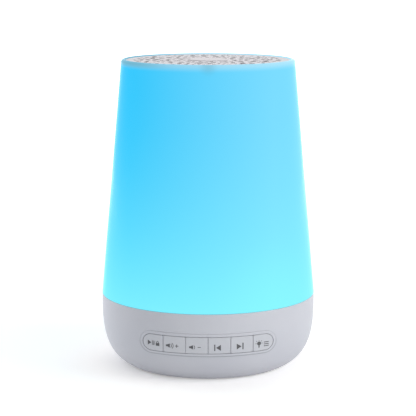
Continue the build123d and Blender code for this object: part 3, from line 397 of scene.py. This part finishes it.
# metal: stained in places, brushed more or less
metalPlain = {"stainScale": 140.0, "stainFrom": 0.35, "stainTo": 0.7, "stainDetail": 5.0,
              "brush": (1.0, 1.0, 1.0), "brushScale": 900.0, "brushDepth": 0.00002, "brushStrength": 0.5,
              "brushDetail": 4.0, "roughness": 0.3, "roughSpread": 0.12}
metalLooks = {
    "steel": {"color": "B9BBC0", "stainColor": "A9ABB2"},
    "pressed_steel": {"color": "9C9EA3", "stainColor": "8C8F95", "roughness": 0.38},
    "socket_steel": {"color": "C6C7CB", "stainColor": "B5B7BC", "brush": (1.0, 0.05, 1.0)},
    "coil_former": {"color": "D8D9DC", "stainColor": "CACCD0", "roughness": 0.25},
    "brass": {"color": "D8B56A", "stainColor": "C6A259", "roughness": 0.28},
}


def metalFinish(name, look):
    look = {**metalPlain, **look}
    finish, tree, shader, place = startFinish(name)
    stain = addNoise(tree, place, look["stainScale"], look["stainDetail"])
    stain = mapRange(tree, stain, look["stainFrom"], look["stainTo"])
    color = mixColors(tree, stain, hexColor(look["color"]), hexColor(look["stainColor"]))
    brush = addNoise(tree, place, look["brushScale"], look["brushDetail"], look["brush"])
    rough = spreadNoise(tree, brush, look["roughness"], look["roughness"] + look["roughSpread"])
    feedNode(tree, shader, {"Base Color": color, "Metallic": 1.0, "Roughness": rough})
    addBump(tree, shader, brush, look["brushDepth"], look["brushStrength"])
    return finish


# woven cloth: threads along X and Y over dark hollows
clothPlain = {"waver": 0.4, "roughness": 0.9, "gloss": 0.2}
clothLooks = {
    "grille_cloth": {"thread": "2C2C2F", "hollow": "0E0E10", "pitch": 0.0005},
    "spider_cloth": {"thread": "C79A4E", "hollow": "8A6426", "pitch": 0.0006},
}


def clothFinish(name, look):
    look = {**clothPlain, **look}
    finish, tree, shader, place = startFinish(name)
    threads = [addWave(tree, place, axis, look["pitch"], look["waver"]) for axis in ("X", "Y")]
    weave = mathNode(tree, "MULTIPLY", *threads)
    color = mixColors(tree, weave, hexColor(look["hollow"]), hexColor(look["thread"]))
    feedNode(tree, shader, {"Base Color": color, "Roughness": look["roughness"],
                            "Specular IOR Level": look["gloss"]})
    addBump(tree, shader, weave, look["pitch"] / 4)
    return finish


# circuit boards: solder mask with raised tracks and tinned pads
boardLook = {"mask": "14502C", "roughness": 0.32, "relief": 0.00004,
             "track": "1E6B3C", "trackScale": 260.0, "trackWidth": 0.12, "shift": 0.35, "squash": 1.6,
             "pad": "C9CCC4", "padScale": 420.0, "padFrom": 0.18, "padTo": 0.2, "padRoughness": 0.22}


def boardFinish(name, look):
    finish, tree, shader, place = startFinish(name)
    mask, track = hexColor(look["mask"]), hexColor(look["track"])
    bricks = {"Vector": place, "Scale": look["trackScale"], "Color1": mask, "Color2": mask,
              "Mortar": track, "Mortar Size": look["trackWidth"]}
    tracks = addNode(tree, "TexBrick", bricks, offset=look["shift"], squash=look["squash"]).outputs
    dots = addNode(tree, "TexVoronoi", {"Vector": place, "Scale": look["padScale"]}).outputs[0]
    pads = mapRange(tree, dots, look["padFrom"], look["padTo"], 1.0, 0.0)
    color = mixColors(tree, pads, tracks[0], hexColor(look["pad"]))
    rough = mapRange(tree, pads, 0.0, 1.0, look["roughness"], look["padRoughness"])
    feedNode(tree, shader, {"Base Color": color, "Roughness": rough})
    addBump(tree, shader, mathNode(tree, "ADD", tracks[1], pads), look["relief"])
    return finish


# enamelled wire, wound round Z
windingLook = {"color": "C46A35", "shadow": "5A2A12", "shadowTo": 0.5, "wirePitch": 0.00022,
               "metallic": 0.8, "roughness": 0.3}


def windingFinish(name, look):
    finish, tree, shader, place = startFinish(name)
    turns = addWave(tree, place, "Z", look["wirePitch"])
    lit = mapRange(tree, turns, 0.0, look["shadowTo"])
    color = mixColors(tree, lit, hexColor(look["shadow"]), hexColor(look["color"]))
    feedNode(tree, shader, {"Base Color": color, "Metallic": look["metallic"],
                            "Roughness": look["roughness"]})
    addBump(tree, shader, turns, look["wirePitch"] / 2)
    return finish


# milky shade, lit from inside: deeper blue high on one side, paler on the other and near its foot; the paler side is
# painted light from the studio lamp on the right
shadeLook = {
    "body": "08303E", "gloss": 0.04, "index": 1.2, "roughness": 0.22, "roughSpread": 0.08, "strength": 1.0,
    "deepGlow": "2AC3F8", "litSideGlow": "7AD7F8", "litSideFrom": -0.038, "litSideTo": 0.031,
    "footGlow": "90FDFF", "footFrom": 0.145, "footTo": 0.034, "footCurve": 1.9, "footShare": 0.7,
    "hotGlow": "8AFAFF", "hotSpot": (0.030, -0.040, 0.036), "hotReach": 0.036, "hotShare": 0.4,
    "rimDeep": "8CC6E0", "rimLitSide": "B4E4F6", "rimFrom": 0.1461, "rimTo": 0.1500, "rimShare": 0.9,
    "shadow": "6BA6B8", "shadowSpot": (0.0, -0.042, 0.1492), "shadowReach": 0.0055, "shadowShare": 0.4,
    "bandLeft": -0.038, "bandRight": -0.014, "bandFrom": 0.1468, "bandTo": 0.1492, "bandShare": 0.7,
    "mottleScale": 22.0, "mottleDetail": 2.0, "mottleShare": 0.04,
    "grainScale": 3800.0, "grainDetail": 2.0, "grainDepth": 0.00002, "grainStrength": 0.4,
}


def nearSpot(tree, place, spot, reach, share):  # a soft round patch on the surface
    return mapRange(tree, distanceTo(tree, place, spot), 0.0, reach, share, 0.0, "SMOOTHSTEP")


def shadeFinish(name, look):
    finish, tree, shader, place = startFinish(name)
    axes = splitAxes(tree, place)
    # painted light: paler towards +X, where the studio lamp on the right falls
    side = mapRange(tree, axes["X"], look["litSideFrom"], look["litSideTo"])
    glow = mixColors(tree, side, hexColor(look["deepGlow"]), hexColor(look["litSideGlow"]))
    foot = mapRange(tree, axes["Z"], look["footFrom"], look["footTo"])
    foot = mathNode(tree, "MULTIPLY", mathNode(tree, "POWER", foot, look["footCurve"]), look["footShare"])
    glow = mixColors(tree, foot, glow, hexColor(look["footGlow"]))
    hot = nearSpot(tree, place, look["hotSpot"], look["hotReach"], look["hotShare"])
    glow = mixColors(tree, hot, glow, hexColor(look["hotGlow"]))
    # the rim is painted paler, as lit by the studio lamps, with a painted shadow along its left and a small one in
    # front
    rim = mapRange(tree, axes["Z"], look["rimFrom"], look["rimTo"], 0.0, look["rimShare"], "SMOOTHSTEP")
    rimGlow = mixColors(tree, side, hexColor(look["rimDeep"]), hexColor(look["rimLitSide"]))
    glow = mixColors(tree, rim, glow, rimGlow)
    left = mapRange(tree, axes["X"], look["bandLeft"], look["bandRight"], 1.0, 0.0, "SMOOTHSTEP")
    high = mapRange(tree, axes["Z"], look["bandFrom"], look["bandTo"], 0.0, look["bandShare"], "SMOOTHSTEP")
    spot = nearSpot(tree, place, look["shadowSpot"], look["shadowReach"], look["shadowShare"])
    shadow = mathNode(tree, "MAXIMUM", mathNode(tree, "MULTIPLY", left, high), spot)
    glow = mixColors(tree, shadow, glow, hexColor(look["shadow"]))
    mottle = addNoise(tree, place, look["mottleScale"], look["mottleDetail"])
    mottled = spreadNoise(tree, mottle, 0.0, look["mottleShare"])
    glow = mixColors(tree, mottled, glow, hexColor(look["litSideGlow"]))
    rough = roughAround(tree, mottle, look)
    feedNode(tree, shader, {"Emission Color": glow, "Emission Strength": look["strength"],
                            "Base Color": hexColor(look["body"]), "Roughness": rough,
                            "Specular IOR Level": look["gloss"], "IOR": look["index"]})
    grain = addNoise(tree, place, look["grainScale"], look["grainDetail"])
    addBump(tree, shader, grain, look["grainDepth"], look["grainStrength"])
    return finish


finishes = {name: moldedFinish(name, look) for name, look in moldedLooks.items()}
finishes.update({name: metalFinish(name, look) for name, look in metalLooks.items()})
finishes.update({name: clothFinish(name, look) for name, look in clothLooks.items()})
finishes["circuit_board"] = boardFinish("circuit_board", boardLook)
finishes["copper_wire"] = windingFinish("copper_wire", windingLook)
finishes["lit_shade"] = shadeFinish("lit_shade", shadeLook)

for part in frame["record"]["subparts"]:
    piece = nodes[part["node"]]
    for slot in piece.material_slots:
        slot.material = finishes[part["material_slot"]]
print("finishes made:", len(finishes))


# printed marks: play, pause and lock; louder; quieter; back; on; lamp and menu
markLook = {"thickness": 0.06, "grid": 0.5, "front": -56.0, "color": "47474B", "cloudColor": "56565A",
            "roughness": 0.55, "cloudScale": 900.0, "grainDepth": 0.00001}
# each mark is a kind, its left, right, low and high in millimetres as seen in front, and what is special:
# turn in degrees, a ring's wall, or the place above or right of which it is kept
keyMarks = {
    "play": [
        ("right", -28.4, -26.7, 18.55, 21.05),
        ("bar", -26.42, -26.14, 18.7, 20.9),
        ("bar", -25.9, -25.62, 18.7, 20.9),
        ("bar", -25.3, -25.1, 18.7, 20.95, {"turn": 11}),
        ("bar", -24.6, -22.9, 18.55, 19.95),
        ("ring", -24.35, -23.15, 19.2, 20.95, {"wall": 0.26, "above": 19.95}),
    ],
    "volume_up": [
        ("bar", -19.8, -19.2, 18.9, 19.8),
        ("left", -20.3, -17.9, 18.3, 20.4, {"rightOf": -19.2}),
        ("ring", -19.5, -17.0, 18.1, 20.6, {"wall": 0.27, "rightOf": -17.6}),
        ("ring", -20.1, -16.2, 17.4, 21.3, {"wall": 0.27, "rightOf": -16.9}),
        ("bar", -15.5, -13.9, 19.2, 19.52),
        ("bar", -14.86, -14.54, 18.56, 19.2),
        ("bar", -14.86, -14.54, 19.52, 20.16),
    ],
    "volume_down": [
        ("bar", -8.9, -8.3, 18.75, 19.65),
        ("left", -9.4, -7.0, 18.15, 20.25, {"rightOf": -8.3}),
        ("ring", -8.6, -6.1, 17.95, 20.45, {"wall": 0.27, "rightOf": -6.7}),
        ("bar", -4.9, -3.4, 19.05, 19.37),
    ],
    "previous": [
        ("bar", 2.85, 3.37, 17.45, 20.6),
        ("left", 3.7, 6.0, 17.5, 20.5),
    ],
    "next": [
        ("right", 13.4, 15.7, 17.75, 20.65),
        ("bar", 16.05, 16.6, 17.65, 20.95),
    ],
    "lamp": [
        ("disc", 23.0, 24.9, 18.75, 20.65, {"above": 18.95}),
        ("bar", 23.68, 24.22, 17.6, 18.95),
        ("bar", 22.2, 22.75, 19.6, 19.84),
        ("bar", 25.15, 25.7, 19.6, 19.84),
        ("bar", 23.83, 24.07, 20.9, 21.35),
        ("bar", 22.5, 23.05, 20.75, 20.99, {"turn": 45}),
        ("bar", 24.85, 25.4, 20.75, 20.99, {"turn": -45}),
        ("bar", 26.25, 28.6, 17.95, 18.33),
        ("bar", 26.25, 28.6, 18.9, 19.28),
        ("bar", 26.25, 28.6, 19.85, 20.23),
    ],
}


def drawMark(kind, left, right, low, high, extra=None):  # one flat sign, filling its box
    extra = extra or {}
    width, height = metres(right - left, high - low)
    x, y, z = metres((left + right) / 2, markLook["front"], (low + high) / 2)
    clearPicks()
    if kind == "bar":
        turn = radians(extra.get("turn", 0))
        bpy.ops.mesh.primitive_plane_add(size=1, location=(x, y, z), rotation=(pi / 2, turn, 0))
        bpy.context.object.scale = (width, height, 1)
    elif kind in ("disc", "ring"):
        bpy.ops.mesh.primitive_circle_add(vertices=32, radius=0.5, fill_type="NGON", location=(x, y, z),
                                          rotation=(pi / 2, 0, 0))
        bpy.context.object.scale = (width, height, 1)
    else:  # a triangle that points left or right, from three corners on a circle of radius 1
        way = 1 if kind == "right" else -1
        bpy.ops.mesh.primitive_circle_add(vertices=3, radius=1, fill_type="NGON",
                                          location=(x - way * width / 6, y, z),
                                          rotation=(pi / 2, way * pi / 2, 0))
        bpy.context.object.scale = (height / 3 ** 0.5, width / 1.5, 1)
    settle()
    bpy.ops.object.mode_set(mode="EDIT")
    bpy.ops.mesh.select_mode(type="FACE")
    bpy.ops.mesh.select_all(action="SELECT")
    if kind == "ring":
        bpy.ops.mesh.inset(thickness=extra["wall"] / 1000)
        bpy.ops.mesh.delete(type="FACE")
    for side, normal in (("above", (0, 0, 1)), ("rightOf", (1, 0, 0))):
        if side in extra:
            bpy.ops.mesh.select_all(action="SELECT")
            cut = extra[side] / 1000
            bpy.ops.mesh.bisect(plane_co=(cut, 0, cut), plane_no=normal, clear_inner=True)
    endEdit()
    return bpy.context.object


def printMarks(keyName, marks):
    piece = joinPieces([drawMark(*mark) for mark in marks], "mark_" + keyName)
    lefts, rights, lows, highs = zip(*[mark[1:5] for mark in marks])
    grid = markLook["grid"]
    startEdit()
    for first, last, normal in ((min(lefts), max(rights), (1, 0, 0)), (min(lows), max(highs), (0, 0, 1))):
        steps = range(1, int((last - first) / grid) + 1)  # a fine grid, to follow the key's curve
        slicePiece([first + step * grid for step in steps], normal)
    endEdit()
    wrapOnto(piece, nodes["key_" + keyName])
    ink = piece.modifiers.new("ink", "SOLIDIFY")
    ink.thickness = markLook["thickness"] / 1000
    ink.offset = 0
    bpy.ops.object.modifier_apply(modifier="ink")
    piece.data.materials.append(finishes["mark_ink"])
    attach(piece, keyName + "_key")


finishes["mark_ink"] = moldedFinish("mark_ink", markLook)
for keyName, marks in keyMarks.items():
    printMarks(keyName, marks)
print("marks printed on", len(keyMarks), "keys")


# soft webs that close the narrow gaps between the keys, set a little back from their faces; millimetres
webLook = {"middles": (-21.0, -10.504, 0.0, 10.504, 21.0), "width": 0.12, "reach": 1.5, "low": 16.0,
           "high": 24.0, "setBack": 0.03, "depth": 0.8, "corner": 0.4, "flare": 0.2, "rows": 40}
keyOrder = list(keyMarks)


def narrowWeb(piece, middle):  # to a slim strip, flared at both ends to fill the keys' round corners
    corners = sorted(piece.data.vertices, key=lambda corner: (round(corner.co.z, 6), corner.co.x))
    for left, right in zip(corners[::2], corners[1::2]):
        height = left.co.z * 1000
        inside = max(min(height - webLook["low"], webLook["high"] - height), 0)
        short = max(webLook["corner"] - inside, 0)
        flare = webLook["corner"] - (webLook["corner"] ** 2 - short ** 2) ** 0.5
        half = webLook["width"] / 2 + min(flare, webLook["flare"])
        level = (left.co.y + right.co.y) / 2
        lean = (right.co.y - left.co.y) * half / webLook["reach"]
        left.co.x = (middle - half) / 1000
        left.co.y = level - lean
        right.co.x = (middle + half) / 1000
        right.co.y = level + lean


def fillGap(number, middle):
    low, high, rows = webLook["low"], webLook["high"], webLook["rows"]
    spot = metres(middle, markLook["front"], (low + high) / 2)
    clearPicks()
    bpy.ops.mesh.primitive_plane_add(size=1, location=spot, rotation=(pi / 2, 0, 0))
    piece = bpy.context.object
    piece.name = piece.data.name = "key_web_" + str(number)
    piece.scale = (*metres(webLook["reach"], high - low), 1)
    settle()
    startEdit()
    slicePiece([low + step * (high - low) / rows for step in range(1, rows)], (0, 0, 1))
    endEdit()
    for neighbour in keyOrder[number - 1:number + 1]:  # its left side on one key, its right on the next
        wrapOnto(piece, nodes["key_" + neighbour])
    narrowWeb(piece, middle)
    startEdit()
    bpy.ops.transform.translate(value=(0, webLook["setBack"] / 1000, 0))
    bpy.ops.mesh.extrude_region_move(TRANSFORM_OT_translate={"value": (0, webLook["depth"] / 1000, 0)})
    bpy.ops.mesh.select_all(action="SELECT")
    bpy.ops.mesh.normals_make_consistent(inside=False)
    endEdit()
    piece.data.materials.append(finishes["key_plastic"])
    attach(piece, "housing")


for number, middle in enumerate(webLook["middles"], 1):
    fillGap(number, middle)
print("gaps between the keys closed")


# charging socket: a black tongue with brass contacts on both its sides, in millimetres
tongueLook = {"width": 6.76, "thick": 0.76, "from": 42.5, "to": 47.72, "level": 17.03, "corner": 0.08,
              "color": "1C1C1E", "cloudColor": "242426", "roughness": 0.45}
contactLook = {"width": 0.28, "thick": 0.06, "from": 44.2, "to": 47.2, "corner": 0.015, "pitch": 0.5,
               "row": 12}


def addBar(name, look, x, z):  # along Y, with its edges eased
    clearPicks()
    bpy.ops.mesh.primitive_cube_add(size=1, location=metres(x, (look["from"] + look["to"]) / 2, z))
    bar = bpy.context.object
    bar.name = bar.data.name = name
    bar.scale = metres(look["width"], look["to"] - look["from"], look["thick"])
    settle()
    startEdit()
    bpy.ops.mesh.bevel(offset=look["corner"] / 1000, segments=2, affect="EDGES")
    endEdit()
    return bar


finishes["socket_tongue"] = moldedFinish("socket_tongue", tongueLook)
tongue = addBar("socket_tongue", tongueLook, 0, tongueLook["level"])
tongue.data.materials.append(finishes["socket_tongue"])
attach(tongue, "housing")

across = -(contactLook["row"] - 1) / 2 * contactLook["pitch"]
under = tongueLook["level"] - tongueLook["thick"] / 2
contacts = [addBar("socket_contact", contactLook, across, under)]
for number in range(1, 2 * contactLook["row"]):
    row, place = divmod(number, contactLook["row"])
    move = metres(place * contactLook["pitch"], 0, row * tongueLook["thick"])
    contacts.append(copyPiece(contacts[0], move))
contacts = joinPieces(contacts, "socket_contacts")
contacts.data.materials.append(finishes["brass"])
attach(contacts, "housing")
print("socket contacts laid")


# the speaker's rubber roll and its sprung cloth, remade in place of the CAD pieces; in millimetres from the middle
flexLooks = {
    "surround": {"replaces": "speaker_surround", "finish": "surround_rubber", "inner": 17.7, "outer": 25.0,
                 "low": 139.0, "thick": 0.4, "cuts": 36, "rollFrom": 18.9, "rollTo": 22.8,
                 "rollHeight": 1.75, "rolls": 0.5, "fixedAt": 21.0, "movesAt": 18.95},
    "spider": {"replaces": "speaker_spider", "finish": "spider_cloth", "inner": 7.65, "outer": 16.8,
               "low": 128.3, "thick": 0.4, "cuts": 46, "rollFrom": 8.7, "rollTo": 12.9,
               "rollHeight": 0.45, "rolls": 3, "fixedAt": 11.9, "movesAt": 8.6},
}
flexSpin = {"sectors": 8, "steps": 8, "weld": 0.000001}


def waveStrip(look):  # a thin upright strip from the inner to the outer edge, lifted along the wave
    inner, outer, cuts = look["inner"], look["outer"], look["cuts"]
    middle = metres((inner + outer) / 2, 0, look["low"] + look["thick"] / 2)
    clearPicks()
    bpy.ops.mesh.primitive_plane_add(size=1, location=middle, rotation=(pi / 2, 0, 0))
    strip = bpy.context.object
    strip.scale = (*metres(outer - inner, look["thick"]), 1)
    settle()
    startEdit()
    slicePiece([inner + step * (outer - inner) / cuts for step in range(1, cuts)], (1, 0, 0))
    endEdit()
    for corner in strip.data.vertices:
        along = (corner.co.x * 1000 - look["rollFrom"]) / (look["rollTo"] - look["rollFrom"])
        if 0 < along < 1:
            corner.co.z += look["rollHeight"] / 1000 * sin(2 * pi * look["rolls"] * along)
    return strip


def spinFlex(name, look):  # the strip is spun into one sector, which is copied round
    sectorTurn = 2 * pi / flexSpin["sectors"]
    strip = waveStrip(look)
    startEdit()
    bpy.ops.transform.rotate(value=-sectorTurn / 2, orient_axis="Z", center_override=(0, 0, 0))
    bpy.ops.mesh.spin(steps=flexSpin["steps"], angle=sectorTurn, center=(0, 0, 0), axis=(0, 0, 1))
    bpy.ops.mesh.select_all(action="SELECT")
    bpy.ops.mesh.remove_doubles(threshold=flexSpin["weld"])
    bpy.ops.mesh.normals_make_consistent(inside=False)
    endEdit()
    strip.data.materials.append(finishes[look["finish"]])
    sectors = [strip]
    for number in range(1, flexSpin["sectors"]):
        sectors.append(copyPiece(strip, turn=number * sectorTurn))
    for number, sector in enumerate(sectors):
        sector.name = sector.data.name = name + "_" + str(number + 1)
        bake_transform(sector)
    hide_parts(look["replaces"])


for name, look in flexLooks.items():
    spinFlex(name, look)
